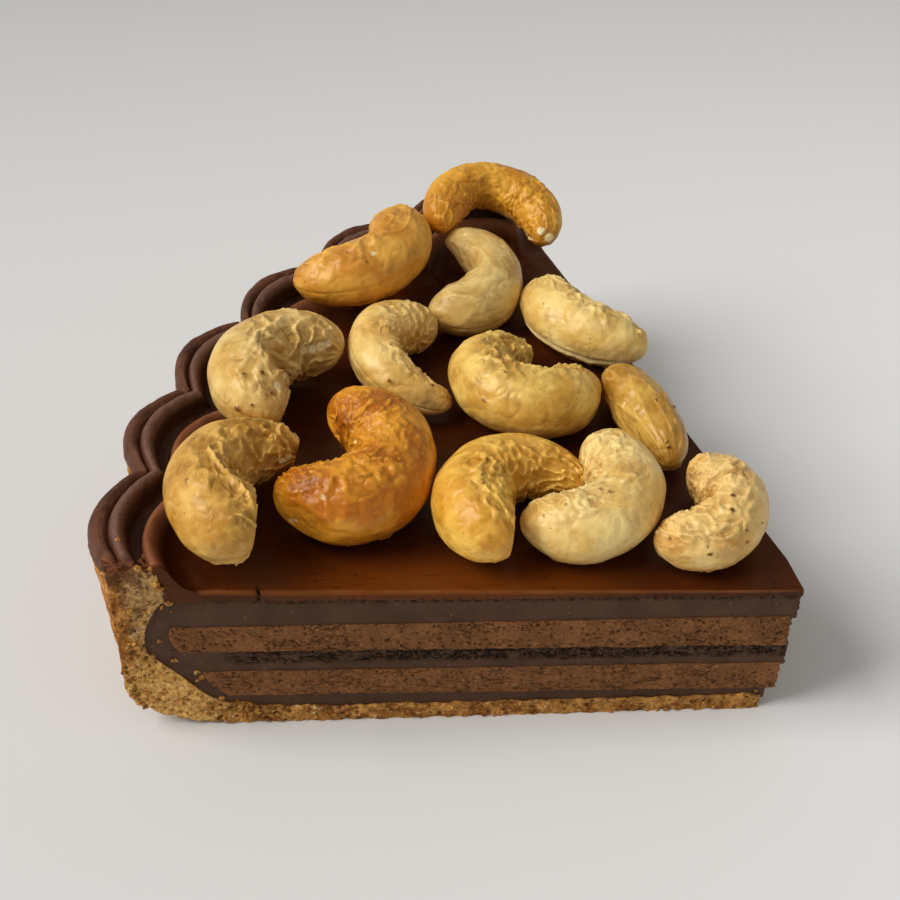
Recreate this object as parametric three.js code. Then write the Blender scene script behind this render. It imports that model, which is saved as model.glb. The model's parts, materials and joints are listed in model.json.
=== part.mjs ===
// A slice of layered chocolate tart with whole cashews on its glaze.
//
// Millimetres, +Z up. The slice is shaped with its tip on the Z axis and its base on z = 0: the front
// cut runs along -X, and a bearing is the angle round the tip from that cut towards +Y. The last
// lines set the middle of its footprint on the origin.
//
// Every layer is one block of a box grid wrapped round the tip: u runs outwards along the layer, v
// through its thickness, and w round the tip.
import * as THREE from "three";
import { mergeVertices } from "three/addons/utils/BufferGeometryUtils.js";

const DEG = Math.PI / 180;
const GAP = 0.3; // between pieces that touch

// The slice
const SLICE_ANGLE = 70;
const TART_RADIUS = 101; // to the crests of the flutes at the top
const CRUST_TOP = 31;
const TIP_CUT = 1.1; // the blunt tip starts this far out along the front cut
const TIP_CUT_BEARING = 79; // and runs at this bearing to the back cut
const CUT_ROUGHNESS = 0.45; // how far crumbs stand out of the cut crust

// The fluted edge: its cusps' bearings, and how deep the flutes are at the top and just over the base
const CUSPS = [-1.8, 10.8, 21.9, 33, 44.2, 55.5, 66.8, 78];
const STOPS_IN_FLUTE = 6;
const CUSP_SHARPNESS = 0.8;
const OUTER_LAG = 0.7; // degrees by which the outer edge's flutes trail the rope's
const FLUTE_DEPTH_TOP = 5;
const FLUTE_DEPTH_LOW = 0.7;
const WALL_LOW = { r: 96.9, z: 5 }; // the wall's crest line, low down

// The piped chocolate edge: an inner rope, a groove and a wide outer band
const ROPE_RADIUS = 96.8; // at the crests of the flutes
const ROPE_FLUTE = 4;
const VALLEY_WIDTH = 3; // from the rope's ridge in to the valley against the glaze
const LIP_INSET = 3.7; // from the rope's ridge in to the glaze's raised edge
const LIP_HEIGHT = 32.1;
const INNER_ROPE = [ // share of the valley's width inside the ridge, height
  [1, 31.9],
  [0.73, 32.3],
  [0.43, 33.6],
  [0.17, 34.3],
];
const OUTER_BAND = [ // share of the way from the ridge to the outer edge, height
  [0, 34.5],
  [0.14, 34.2],
  [0.3, 33.5],
  [0.46, 33.5],
  [0.66, 33.8],
  [0.86, 33.3],
  [1, 32.2],
];

// Layer faces: height at the tip and rise per millimetre outwards
const FACES = {
  mousseLowerBase: [4.4, 0.018],
  ganacheMiddleBase: [9.8, 0.014],
  mousseUpperBase: [13.6, 0.019],
  ganacheTopBase: [19.5, 0.008],
  glazeBase: [23.6, 0.02],
  glazeTop: [24.8, 0.0275],
};
const SPREAD = [12, 30, 50, 68, 80, 84, 87, 89]; // the layers' shared stations, out from the tip
const HUMP = { r: 87, half: 3, height: 1.9 }; // the upper mousse swells near its end

// The crust in section, pairs of points on its outside and inside from the tip out and up
const CRUST_BASE = 2.8;
const CRUST_SECTION = [
  [[4, 0], [4, CRUST_BASE]],
  [[30, 0], [30, CRUST_BASE]],
  [[58, 0], [58, CRUST_BASE]],
  [[76, 0], [74, 3.3]],
  [[85, 0.5], [81, 4.1]],
  [[90.5, 1.8], [85, 5.4]],
  [[94.3, 4], [87.6, 8.9]],
];
const CRUST_WALL = [ // height outside, then the point inside
  [7, [91, 12.6]],
  [13, [93.3, 15.6]],
  [19, [92.9, 20]],
  [24, [91, 24]],
  [27.5, [89.2, 25.5]],
];

// The lowest ganache in section, and how it lines the crust's wall: outside and inside points
const LINING_SECTION = [
  [[3.5, 3.1], [3.5, 4.3]],
  [[30, 3.1], [30, 4.8]],
  [[58, 3.1], [58, 5.3]],
  [[74, 3.6], [74, 5.6]],
  [[80.5, 4.4], [80, 5.6]],
  [[84.7, 5.7], [82.7, 5.8]],
  [[87.3, 9.1], [85, 9.1]],
  [[90.6, 12.8], [86.9, 12.4]],
  [[92.9, 15.7], [89.7, 14.7]],
  [[92.5, 20], [90.6, 20]],
];

// The cashews, each an ellipsoid bent round a circle. at: the middle of the nut, from the tip; bulge:
// the bearing of its convex side, from +X; bend: the circle's radius; reach: half the arc, in
// degrees; fat: how much thicker the end on the left of the bulge is; lean and roll: degrees by
// which the convex side, and that end, are raised.
const CASHEWS = [
  { at: [-38, 82.8], bulge: 86, bend: 8.4, reach: 112, width: 9, fat: 0.12, lean: 14, roll: 12, lift: 0.2 },
  { at: [-59, 63.2], bulge: 311, bend: 11.2, reach: 72, width: 11.8, fat: 0.12, lean: 8, roll: 4, lift: 0.2 },
  { at: [-40.3, 63.3], bulge: 346, bend: 7.6, reach: 101, width: 10.3, fat: -0.15, lean: 4, roll: 6 },
  { at: [-27.8, 53], bulge: 226, bend: 13.4, reach: 54, width: 10.7, fat: 0.08, lean: 14, roll: 0 },
  { at: [-77.6, 39.6], bulge: 149, bend: 9.1, reach: 91, width: 12.8, fat: 0.14, lean: 16, roll: 7, lift: 0.2 },
  { at: [-60.1, 44.6], bulge: 183, bend: 8.3, reach: 111, width: 9.6, fat: -0.1, lean: 20, roll: -2 },
  { at: [-41.6, 35.1], bulge: 224, bend: 7.1, reach: 146, width: 11.6, fat: 0.12, lean: 12, roll: 2 },
  { at: [-19.1, 31.9], bulge: 16, bend: 41, reach: 16, width: 9.4, fat: 0, lean: 5, roll: 2 },
  { at: [-83.8, 14.2], bulge: 160, bend: 10, reach: 91, width: 12, fat: 0.15, lean: 17, roll: 7, lift: 0.3 },
  { at: [-59.7, 15.7], bulge: 332, bend: 8, reach: 124, width: 13.5, fat: 0.02, lean: -4, roll: 7 },
  { at: [-45.2, 16.7], bulge: 139, bend: 9.1, reach: 102, width: 11.8, fat: 0.2, lean: 1, roll: 6 },
  { at: [-26.6, 10.1], bulge: 322, bend: 7.6, reach: 106, width: 12.3, fat: 0.06, lean: 2, roll: 2 },
  { at: [-10.6, 8.8], bulge: 332, bend: 6.8, reach: 106, width: 11, fat: 0.03, lean: 8, roll: 1 },
];
const CASHEW_THICKNESS = 0.95; // height over width, as it lies
const CASHEW_AROUND = 16;
const CASHEW_ALONG = 12;
const CASHEW_BLUNTNESS = 3;
const NOTCH_SHARE = 0.85; // the concave side is this much flatter than the convex one

const COLOURS = {
  crust: 0x9a6f3c,
  ganache: 0x44302a,
  mousse: 0x5c3b24,
  glaze: 0x45200c,
  chocolate: 0x4c3226,
  cashews: [
    0xc08a3a, 0xd0924a, 0xd2b07a, 0xe4c37e, 0xd6b46a, 0xd9b472, 0xcfa35a, 0xb98a3c, 0xc59245,
    0xc0812c, 0xcf9a48, 0xe2cda0, 0xd6b076,
  ],
};

const mix = (a, b, t) => a + (b - a) * t;
const clamp01 = (t) => Math.min(1, Math.max(0, t));
const face = (name, r) => FACES[name][0] + FACES[name][1] * r;

// How far out a flute stands at a bearing: 0 at a cusp, 1 at a crest.
function flute(bearing) {
  const k = Math.max(0, CUSPS.findLastIndex((c) => c <= bearing));
  const t = (bearing - CUSPS[k]) / (CUSPS[k + 1] - CUSPS[k]);
  return Math.pow(Math.max(0, Math.sin(Math.PI * t)), CUSP_SHARPNESS);
}

// The bearings at which the blocks have edges: both cuts, and evenly inside each flute.
function fluteStops() {
  const stops = [0];
  for (let k = 0; k + 1 < CUSPS.length; k++)
    for (let j = 0; j < STOPS_IN_FLUTE; j++) {
      const stop = mix(CUSPS[k], CUSPS[k + 1], j / STOPS_IN_FLUTE);
      if (stop > 0.5 && stop < SLICE_ANGLE - 0.5) stops.push(stop);
    }
  return [...stops, SLICE_ANGLE];
}
const evenStops = (n) => Array.from({ length: n + 1 }, (_, i) => (SLICE_ANGLE * i) / n);

const ropeRadius = (bearing) => ROPE_RADIUS - ROPE_FLUTE * (1 - flute(bearing));
const lipRadius = (bearing) => ropeRadius(bearing) - LIP_INSET;

// The crust's outer wall at a height.
function wallRadius(z, bearing) {
  const up = (z - WALL_LOW.z) / (CRUST_TOP - WALL_LOW.z);
  const depth = mix(FLUTE_DEPTH_LOW, FLUTE_DEPTH_TOP, up);
  return mix(WALL_LOW.r, TART_RADIUS, up) - depth * (1 - flute(bearing - OUTER_LAG));
}

// The blunt tip: how far out it lies at a bearing, plus a layer's own step back.
function tipRadius(bearing, back = 0) {
  const cut = TIP_CUT_BEARING * DEG;
  return (TIP_CUT * Math.sin(cut)) / Math.sin(cut - bearing * DEG) + back;
}

// A value between the points of a list of stations.
function along(values, u) {
  const at = u * (values.length - 1);
  const k = Math.min(values.length - 2, Math.floor(at + 1e-6));
  return mix(values[k], values[k + 1], at - k);
}

// Crumbs on a cut: a fixed unevenness, never out past the cut.
const crumbs = (a, b) => -0.5 - 0.5 * Math.sin(a * 7.3 + 2.1 * Math.sin(b * 5.7 + a));

// A block wrapped round the tip. place(u, v, bearing) gives its radius, height and, if the cut
// faces are rough, how far they stand back at that point.
function block(name, colour, roughness, nu, nv, stops, place) {
  const geometry = new THREE.BoxGeometry(1, 1, 1, nu, nv, stops.length - 1);
  geometry.deleteAttribute("normal");
  geometry.deleteAttribute("uv");
  const position = geometry.attributes.position;
  for (let i = 0; i < position.count; i++) {
    const [u, v, w] = [position.getX(i) + 0.5, position.getY(i) + 0.5, position.getZ(i) + 0.5];
    const bearing = along(stops, w);
    const { r, z, back = 0 } = place(u, v, bearing);
    const inset = w < 1e-6 ? back : w > 1 - 1e-6 ? -back : 0;
    const a = bearing * DEG + inset / Math.max(r, 5);
    position.setXYZ(i, -r * Math.cos(a), r * Math.sin(a), z);
  }
  return piece(name, mergeVertices(geometry, 1e-4), colour, roughness);
}

function piece(name, geometry, colour, roughness) {
  geometry.computeVertexNormals();
  const material = new THREE.MeshStandardMaterial({ color: colour, roughness, metalness: 0 });
  const mesh = new THREE.Mesh(geometry, material);
  mesh.name = name;
  return mesh;
}

// The crumbly crust: a thin base that turns up into a fluted wall.
function crust() {
  const outside = (bearing) => [
    ...CRUST_SECTION.map(([outer]) => outer),
    ...CRUST_WALL.map(([z]) => [wallRadius(z, bearing), z]),
    [wallRadius(CRUST_TOP, bearing), CRUST_TOP],
  ];
  const inside = (bearing) => [
    ...CRUST_SECTION.map(([, inner]) => inner),
    ...CRUST_WALL.map(([, inner]) => inner),
    [lipRadius(bearing) + GAP + 0.1, CRUST_TOP],
  ];
  const pieces = CRUST_SECTION.length + CRUST_WALL.length;
  return block("crust", COLOURS.crust, 0.85, pieces, 3, fluteStops(), (u, v, bearing) => {
    const [outer, inner] = [outside(bearing), inside(bearing)];
    const read = (points, axis) => along(points.map((p) => p[axis]), u);
    const tip = u === 0 ? tipRadius(bearing) - TIP_CUT : 0;
    return {
      r: mix(read(outer, 0), read(inner, 0), v) + tip,
      z: mix(read(outer, 1), read(inner, 1), v),
      back: -CUT_ROUGHNESS * crumbs(u * 12, v * 3),
    };
  });
}

// The lowest ganache, which also lines the wall up to the upper mousse.
function ganacheBottom() {
  const last = LINING_SECTION.length - 1;
  return block("ganache_bottom", COLOURS.ganache, 0.5, last, 1, evenStops(12), (u, v, bearing) => {
    const read = (side, axis) => along(LINING_SECTION.map((pair) => pair[side][axis]), u);
    const tip = u === 0 ? tipRadius(bearing) - TIP_CUT : 0;
    return { r: mix(read(0, 0), read(1, 0), v) + tip, z: mix(read(0, 1), read(1, 1), v) };
  });
}

const hump = (r) => HUMP.height * clamp01(1 - Math.abs(r - HUMP.r) / HUMP.half);

// A layer of filling between two faces. ends: its outer radius at its foot, middle and top.
function layer(name, colour, roughness, low, high, tipStep, ends) {
  const nu = SPREAD.length + 1;
  return block(name, colour, roughness, nu, 2, evenStops(12), (u, v, bearing) => {
    const stations = [tipRadius(bearing, tipStep), ...SPREAD, along(ends, v)];
    const inside = stations.map((r) => Math.min(r, along(ends, v)));
    const r = along(inside, u);
    return { r, z: mix(low(r) + GAP / 2, high(r) - GAP / 2, v) };
  });
}

// The glaze: level over the filling, then drawn up to a lip that follows the flutes.
const MENISCUS = [ // how far in from the lip, and height
  [5.2, 27.3],
  [3.4, 28.4],
  [2.2, 29.8],
  [0.9, 31.4],
  [0, LIP_HEIGHT],
];
const LEVEL_PART = SPREAD.slice(0, 5);
function glaze() {
  const top = (bearing) => [
    ...[tipRadius(bearing), ...LEVEL_PART].map((r) => [r, face("glazeTop", r)]),
    ...MENISCUS.map(([inset, z]) => [lipRadius(bearing) - inset, z]),
  ];
  const foot = (bearing) => {
    const level = [tipRadius(bearing), ...LEVEL_PART];
    const rest = MENISCUS.map((_, i) => mix(level[5], 88.6, (i + 1) / MENISCUS.length));
    return [...level, ...rest].map((r) => [r, face("glazeBase", r) + GAP / 2]);
  };
  const nu = LEVEL_PART.length + MENISCUS.length;
  return block("glaze", COLOURS.glaze, 0.22, nu, 1, fluteStops(), (u, v, bearing) => {
    const points = v > 0.5 ? top(bearing) : foot(bearing);
    return { r: along(points.map((p) => p[0]), u), z: along(points.map((p) => p[1]), u) };
  });
}

// The chocolate edge's upper side at a bearing, from the valley out.
function edgeProfile(bearing) {
  const ridge = ropeRadius(bearing);
  const outer = wallRadius(CRUST_TOP, bearing);
  return [
    ...INNER_ROPE.map(([share, z]) => [ridge - share * VALLEY_WIDTH, z]),
    ...OUTER_BAND.map(([share, z]) => [mix(ridge, outer, share), z]),
  ];
}

function chocolateEdge() {
  const nu = INNER_ROPE.length + OUTER_BAND.length - 1;
  const stops = fluteStops();
  return block("chocolate_rim", COLOURS.chocolate, 0.45, nu, 1, stops, (u, v, bearing) => {
    const profile = edgeProfile(bearing);
    return {
      r: along(profile.map((p) => p[0]), u),
      z: v > 0.5 ? along(profile.map((p) => p[1]), u) : CRUST_TOP + GAP,
    };
  });
}

// The upper side of the glaze or of the chocolate edge, whichever lies under a point.
function surfaceUnder(x, y) {
  const r = Math.hypot(x, y);
  const bearing = Math.atan2(y, -x) / DEG;
  const lip = lipRadius(bearing);
  const points = [
    [0, face("glazeTop", 0)],
    [80, face("glazeTop", 80)],
    ...MENISCUS.map(([inset, z]) => [lip - inset, z]),
    ...edgeProfile(bearing),
  ];
  const k = points.findIndex(([at]) => at >= r);
  if (k < 1) return k < 0 ? 0 : points[0][1];
  const [from, to] = [points[k - 1], points[k]];
  return mix(from[1], to[1], (r - from[0]) / (to[0] - from[0]));
}

// A point of a cashew about its own middle, from a point of the unit sphere.
function cashewPoint(nut, x, s, z) {
  const ring = Math.hypot(x, z) || 1;
  const full = Math.sqrt(Math.max(0, 1 - Math.abs(s) ** CASHEW_BLUNTNESS)) * (1 + nut.fat * s);
  const across = (x / ring) * full * (nut.width / 2);
  const out = nut.bend + (across < 0 ? across * NOTCH_SHARE : across);
  const a = s * nut.reach * DEG;
  return new THREE.Vector3(
    out * Math.cos(a) - nut.bend,
    out * Math.sin(a),
    (z / ring) * full * (nut.width / 2) * CASHEW_THICKNESS,
  );
}

function bentSphere(nut, around, lengthwise) {
  const geometry = new THREE.SphereGeometry(1, around, lengthwise);
  geometry.deleteAttribute("normal");
  geometry.deleteAttribute("uv");
  const { position } = geometry.attributes;
  for (let i = 0; i < position.count; i++) {
    const p = cashewPoint(nut, position.getX(i), position.getY(i), position.getZ(i));
    position.setXYZ(i, p.x, p.y, p.z);
  }
  return mergeVertices(geometry, 1e-4);
}

// A cashew turned as it lies, and let down until it rests on what is under it.
function cashew(name, colour, nut) {
  const mesh = piece(name, bentSphere(nut, CASHEW_AROUND, CASHEW_ALONG), colour, 0.5);
  mesh.rotation.set(nut.roll * DEG, -nut.lean * DEG, nut.bulge * DEG, "ZYX");
  mesh.position.set(nut.at[0], nut.at[1], 0);
  mesh.updateMatrixWorld(true);
  const { position } = bentSphere(nut, 48, 36).attributes;
  const point = new THREE.Vector3();
  let clear = Infinity;
  for (let i = 0; i < position.count; i++) {
    point.fromBufferAttribute(position, i).applyMatrix4(mesh.matrixWorld);
    clear = Math.min(clear, point.z - surfaceUnder(point.x, point.y));
  }
  mesh.position.z = GAP - clear + (nut.lift ?? 0);
  return mesh;
}

const slice = new THREE.Group();
slice.add(
  crust(),
  ganacheBottom(),
  layer("mousse_lower", COLOURS.mousse, 0.7, (r) => face("mousseLowerBase", r),
    (r) => face("ganacheMiddleBase", r), 1, [82.5, 84, 85.2]),
  layer("ganache_middle", COLOURS.ganache, 0.6, (r) => face("ganacheMiddleBase", r),
    (r) => face("mousseUpperBase", r), 0.5, [85.5, 87.1, 89.1]),
  layer("mousse_upper", COLOURS.mousse, 0.7, (r) => face("mousseUpperBase", r),
    (r) => face("ganacheTopBase", r) + hump(r), 0.8, [89.2, 89.8, 90.1]),
  layer("ganache_top", COLOURS.ganache, 0.5, (r) => face("ganacheTopBase", r) + hump(r),
    (r) => face("glazeBase", r), 0.2, [92, 91.2, 88.7]),
  glaze(),
  chocolateEdge(),
);
CASHEWS.forEach((nut, i) => {
  slice.add(cashew(`cashew_${String(i + 1).padStart(2, "0")}`, COLOURS.cashews[i], nut));
});

// The middle of the footprint becomes the origin, with the base on z = 0.
const box = new THREE.Box3().setFromObject(slice, true);
const middle = box.getCenter(new THREE.Vector3());
slice.position.set(-middle.x, -middle.y, -box.min.z);
const tart = new THREE.Group();
tart.add(slice);

export default tart;
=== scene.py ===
import json
import math
import random
from functools import lru_cache

import bmesh
import bpy
from mathutils import Matrix, Vector, noise
from mathutils.bvhtree import BVHTree

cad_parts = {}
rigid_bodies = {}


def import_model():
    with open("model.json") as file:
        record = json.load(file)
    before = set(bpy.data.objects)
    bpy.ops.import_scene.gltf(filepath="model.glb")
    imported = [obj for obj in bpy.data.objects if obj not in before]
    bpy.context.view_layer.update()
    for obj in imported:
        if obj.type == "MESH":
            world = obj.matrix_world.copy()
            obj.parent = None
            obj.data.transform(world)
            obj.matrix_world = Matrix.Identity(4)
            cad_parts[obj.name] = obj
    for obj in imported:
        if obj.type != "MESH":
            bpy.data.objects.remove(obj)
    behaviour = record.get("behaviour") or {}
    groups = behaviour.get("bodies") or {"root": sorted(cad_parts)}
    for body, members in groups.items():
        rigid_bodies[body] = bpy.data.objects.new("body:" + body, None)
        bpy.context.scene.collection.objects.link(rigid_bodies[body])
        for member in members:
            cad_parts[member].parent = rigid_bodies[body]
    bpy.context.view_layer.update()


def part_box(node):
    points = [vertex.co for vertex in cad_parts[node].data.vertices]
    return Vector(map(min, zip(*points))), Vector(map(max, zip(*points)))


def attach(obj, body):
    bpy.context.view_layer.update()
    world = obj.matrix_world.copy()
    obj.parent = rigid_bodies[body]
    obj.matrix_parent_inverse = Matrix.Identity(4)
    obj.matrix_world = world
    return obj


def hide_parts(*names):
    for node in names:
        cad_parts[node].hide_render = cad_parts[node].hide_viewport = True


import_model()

# A slice of layered chocolate tart with whole cashews on its glaze.
#
# Sizes are in millimetres, in the slice's own frame: its tip is on the Z axis, its base on z = 0 and
# its front cut runs along -X. A bearing is the angle round the tip from that cut towards +Y.
MM = 0.001
FINENESS = 1.0  # how fine the meshes are
noise.seed_set(11)  # the warped noise on the nuts is then the same each time

# The slice, as the solids have it
SLICE_ANGLE = 70.0
TART_RADIUS = 101.0
CRUST_TOP = 31.0
TIP_CUT, TIP_CUT_BEARING = 1.1, 79.0  # where the blunt tip crosses the front cut, and the way it runs
TIP = Vector((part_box("glaze")[1].x + TIP_CUT * MM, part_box("ganache_top")[0].y, 0.0))

# The fluted edge
CUSPS = [-1.8, 10.8, 21.9, 33.0, 44.2, 55.5, 66.8, 78.0]  # bearings
CUSP_SHARPNESS = 0.8
OUTER_LAG = 0.7  # degrees by which the wall's flutes lag behind the rope's
FLUTE_DEPTH_TOP, FLUTE_DEPTH_LOW = 5.0, 0.7
WALL_LOW_RADIUS, WALL_LOW_HEIGHT = 96.9, 5.0
ROPE_RADIUS, ROPE_FLUTE = 96.8, 4.0
VALLEY_WIDTH = 3.0
LIP_INSET = 3.7

# Layer faces: height at the tip and rise per millimetre outwards
FACES = {
    "crust": (2.8, 0.004),
    "mousse_lower": (4.4, 0.018),
    "ganache_middle": (9.8, 0.014),
    "mousse_upper": (13.6, 0.019),
    "ganache_top": (19.5, 0.008),
    "glaze": (23.6, 0.02),
    "top": (24.8, 0.0275),
}

# The inner face of the ganache that lines the wall: heights, and its radius at each
LINING_FACE = [
    (5.2, 79.0), (6.0, 82.4), (9.1, 85.0), (12.4, 86.9), (14.7, 89.2), (20.0, 90.4), (25.6, 89.4)]
CRACK_RADIUS = 77.5  # where the glaze has split at the front cut

WALL_MIDDLE, EDGE_MIDDLE = 90, 96  # the radii at which the bearing of a ring is read
CUT_SEED = 50  # sets the back cut's pattern apart from the front cut's


# ---------------------------------------------------------------------------------------------
# Numbers

def mix(a, b, t):
    return a + (b - a) * t


def clamp(t, low=0.0, high=1.0):
    return low if t < low else high if t > high else t


def ramp(low, high, value):
    """0 below low, 1 above high, and a smooth rise between; low may be the larger."""
    t = clamp((value - low) / (high - low))
    return t * t * (3.0 - 2.0 * t)


def read_line(points, at):
    """The second number of a list of pairs at a value of the first, straight between the pairs."""
    for (x0, y0), (x1, y1) in zip(points, points[1:]):
        if at <= x1:
            return mix(y0, y1, clamp((at - x0) / (x1 - x0)))
    return points[-1][1]


def read_curve(points, t):
    """A point at share t of a smooth curve through points, evenly from one to the next."""
    last = len(points) - 1
    k = min(int(t * last), last - 1)
    f = t * last - k
    (ax, ay), (bx, by) = points[k - 1 if k else 0], points[k]
    (cx, cy), (dx, dy) = points[k + 1], points[min(k + 2, last)]
    square, cube = f * f, f * f * f
    wa, wb = 0.5 * (2 * square - f - cube), 0.5 * (2 - 5 * square + 3 * cube)
    wc, wd = 0.5 * (f + 4 * square - 3 * cube), 0.5 * (cube - square)
    return wa * ax + wb * bx + wc * cx + wd * dx, wa * ay + wb * by + wc * cy + wd * dy


def grain(x, y, z=0.0):
    """Smooth unevenness from -1 to 1, its lumps about one unit across."""
    return noise.noise(Vector((x, y, z)))


# ---------------------------------------------------------------------------------------------
# The slice's own shape

@lru_cache(maxsize=None)
def flute(bearing):
    """How far out a flute stands: 0 at a cusp, 1 at a crest."""
    k = max([i for i, cusp in enumerate(CUSPS[:-1]) if cusp <= bearing], default=0)
    t = (bearing - CUSPS[k]) / (CUSPS[k + 1] - CUSPS[k])
    return max(0.0, math.sin(math.pi * t)) ** CUSP_SHARPNESS


def rope_radius(bearing):
    return ROPE_RADIUS - ROPE_FLUTE * (1 - flute(bearing))


def lip_radius(bearing):
    return rope_radius(bearing) - LIP_INSET


def wall_radius(z, bearing):
    up = (z - WALL_LOW_HEIGHT) / (CRUST_TOP - WALL_LOW_HEIGHT)
    depth = mix(FLUTE_DEPTH_LOW, FLUTE_DEPTH_TOP, up)
    return mix(WALL_LOW_RADIUS, TART_RADIUS, up) - depth * (1 - flute(bearing - OUTER_LAG))


def tip_radius(bearing, back=0.0):
    cut = math.radians(TIP_CUT_BEARING)
    return TIP_CUT * math.sin(cut) / math.sin(cut - math.radians(bearing)) + back


def face_height(name, r):
    return FACES[name][0] + FACES[name][1] * r


FACE_SEEDS = {name: 11.0 * i for i, name in enumerate(FACES)}


def layer_wave(name, x, y):
    """How far a layer's lower face wanders up and down at a place."""
    seed = FACE_SEEDS[name]
    return 0.16 * grain(x / 7, y / 7, seed) + 0.09 * grain(x / 2.1, y / 2.1, seed + 5)


def spot(r, angle):
    """A place about the tip at a radius and an angle in radians."""
    return -r * math.cos(angle), r * math.sin(angle)


def at(r, angle, z):
    """A point in the part's frame, in metres, at a radius, an angle in radians and a height."""
    return TIP + Vector((*spot(r, angle), z)) * MM


NEAR_CUT = [(0.0, 0.0), (0.1, 0.12), (0.28, 0.25), (0.55, 0.4), (1.0, 0.6)]  # millimetres, degrees


def rings_round(count):
    """Where a block's rings stand: a few close inside each cut, then evenly between. Each is a
    distance from a cut, a bearing from it and which cut that is."""
    count = max(5, round(count * FINENESS))
    first = NEAR_CUT[-1][1]
    inner = [mix(first, SLICE_ANGLE / 2, i / count) for i in range(1, count + 1)]
    half = NEAR_CUT + [(None, bearing) for bearing in inner]
    return [(*ring, 0) for ring in half] + [(*ring, 1) for ring in reversed(half[:-1])]


CUT_FADE = 2.0  # a cut's roughness dies out this far inside it


def ring_angle(ring, r, roughness):
    """The angle of a ring's point, which stands back from its cut by the roughness there."""
    distance, bearing, side = ring
    angle = math.radians(bearing)
    if distance is not None:
        back = distance + roughness * max(0.0, 1 - distance / CUT_FADE)
        angle = min(back / max(r, 1.5), max(angle, roughness / max(r, 3)))
    return math.radians(SLICE_ANGLE) - angle if side else angle


def add_object(name, data):
    thing = bpy.data.objects.new(name, data)
    bpy.context.scene.collection.objects.link(thing)
    return thing


def make_piece(name, bm, finish, replaced, sharp=60.0):
    """Makes a piece of a closed mesh; edges bent by more than sharp stay sharp."""
    bmesh.ops.recalc_face_normals(bm, faces=bm.faces)
    mesh = bpy.data.meshes.new(name)
    bm.to_mesh(mesh)
    bm.free()
    mesh.shade_smooth()
    mesh.set_sharp_from_angle(angle=math.radians(sharp))
    mesh.materials.append(finish)
    piece = add_object(name, mesh)
    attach(piece, "root")
    if replaced:
        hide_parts(*replaced)


def wrapped_block(name, cells, rings, place, finish, replaced, marks):
    """A closed block wrapped round the tip. Its section is a grid of cells that runs outwards in u
    and upwards in v, swept from ring to ring; place(u, v, ring) gives a point and its marks."""
    cells = [max(3, round(count * FINENESS)) for count in cells]
    bm = bmesh.new()
    middle = Matrix.Translation((0.5, 0.5, 0))
    bmesh.ops.create_grid(bm, x_segments=cells[0], y_segments=cells[1], size=0.5, matrix=middle)
    bmesh.ops.spin(
        bm, geom=bm.verts[:] + bm.edges[:] + bm.faces[:], cent=(0, 0, 0), axis=(0, 0, 1),
        dvec=(0, 0, 1), angle=0, steps=len(rings) - 1, use_merge=False, use_duplicate=False)
    layers = [bm.verts.layers.float.new(mark) for mark in marks]
    for vert in bm.verts:
        ring = rings[round(vert.co.z)]
        vert.co, values = place(clamp(vert.co.x), clamp(vert.co.y), ring)
        for layer, value in zip(layers, values):
            vert[layer] = value
    make_piece(name, bm, finish, replaced)


# ---------------------------------------------------------------------------------------------
# The camera

CAMERA_TARGET = (-47.52, 43.71, 13.95)
CAMERA_DISTANCE = 296.39
CAMERA_TILT, CAMERA_TURN, CAMERA_ROLL = 41.0, -6.07, 2.98
CAMERA_LENS, CAMERA_FILM = 74.0, 36.0
PICTURE = 900


def camera_axes():
    """The camera's right, up and backward directions."""
    tilt, turn, roll = (math.radians(a) for a in (CAMERA_TILT, CAMERA_TURN, CAMERA_ROLL))
    back = Vector((math.sin(turn) * math.cos(tilt), -math.cos(turn) * math.cos(tilt), math.sin(tilt)))
    level = Vector((math.cos(turn), math.sin(turn), 0))
    upright = back.cross(level)
    right = math.cos(roll) * level + math.sin(roll) * upright
    up = -math.sin(roll) * level + math.cos(roll) * upright
    return right, up, back


RIGHT, UP, BACK = camera_axes()
CAMERA_PLACE = Vector(CAMERA_TARGET) + BACK * CAMERA_DISTANCE  # millimetres, from the tip


def look_through(px, py):
    """Where the camera's line of sight through a place in the picture starts, and its direction."""
    scale = CAMERA_LENS / CAMERA_FILM * PICTURE
    way = RIGHT * ((px - PICTURE / 2) / scale) - UP * ((py - PICTURE / 2) / scale) - BACK
    return CAMERA_PLACE, way.normalized()


# ---------------------------------------------------------------------------------------------
# Materials

def colour(red, green, blue):
    """A colour from its values on a screen, 0 to 255."""
    def linear(value):
        c = value / 255
        return c / 12.92 if c <= 0.04045 else ((c + 0.055) / 1.055) ** 2.4
    return (linear(red), linear(green), linear(blue), 1.0)


class Wire:
    """A socket in a material, so that shader maths reads as maths."""

    def __init__(self, finish, socket):
        self.finish, self.socket = finish, socket

    def _math(self, operation, *values, clamped=False):
        settings = {"operation": operation, "use_clamp": clamped}
        return self.finish.node("ShaderNodeMath", settings, dict(enumerate(values)))

    def __add__(self, other):
        return self._math("ADD", self, other)

    def __radd__(self, other):
        return self._math("ADD", other, self)

    def __sub__(self, other):
        return self._math("SUBTRACT", self, other)

    def __rsub__(self, other):
        return self._math("SUBTRACT", other, self)

    def __mul__(self, other):
        return self._math("MULTIPLY", self, other)

    def __rmul__(self, other):
        return self._math("MULTIPLY", other, self)

    def __abs__(self):
        return self._math("ABSOLUTE", self)

    def clamped(self):
        return self._math("ADD", self, 0.0, clamped=True)

    def rise(self, low, high):
        """0 at low, 1 at high, smooth between and level beyond."""
        if low > high:
            return 1 - self.rise(high, low)
        values = {"Value": self, "From Min": low, "From Max": high}
        return self.finish.node("ShaderNodeMapRange", {"interpolation_type": "SMOOTHSTEP"}, values)


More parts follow.
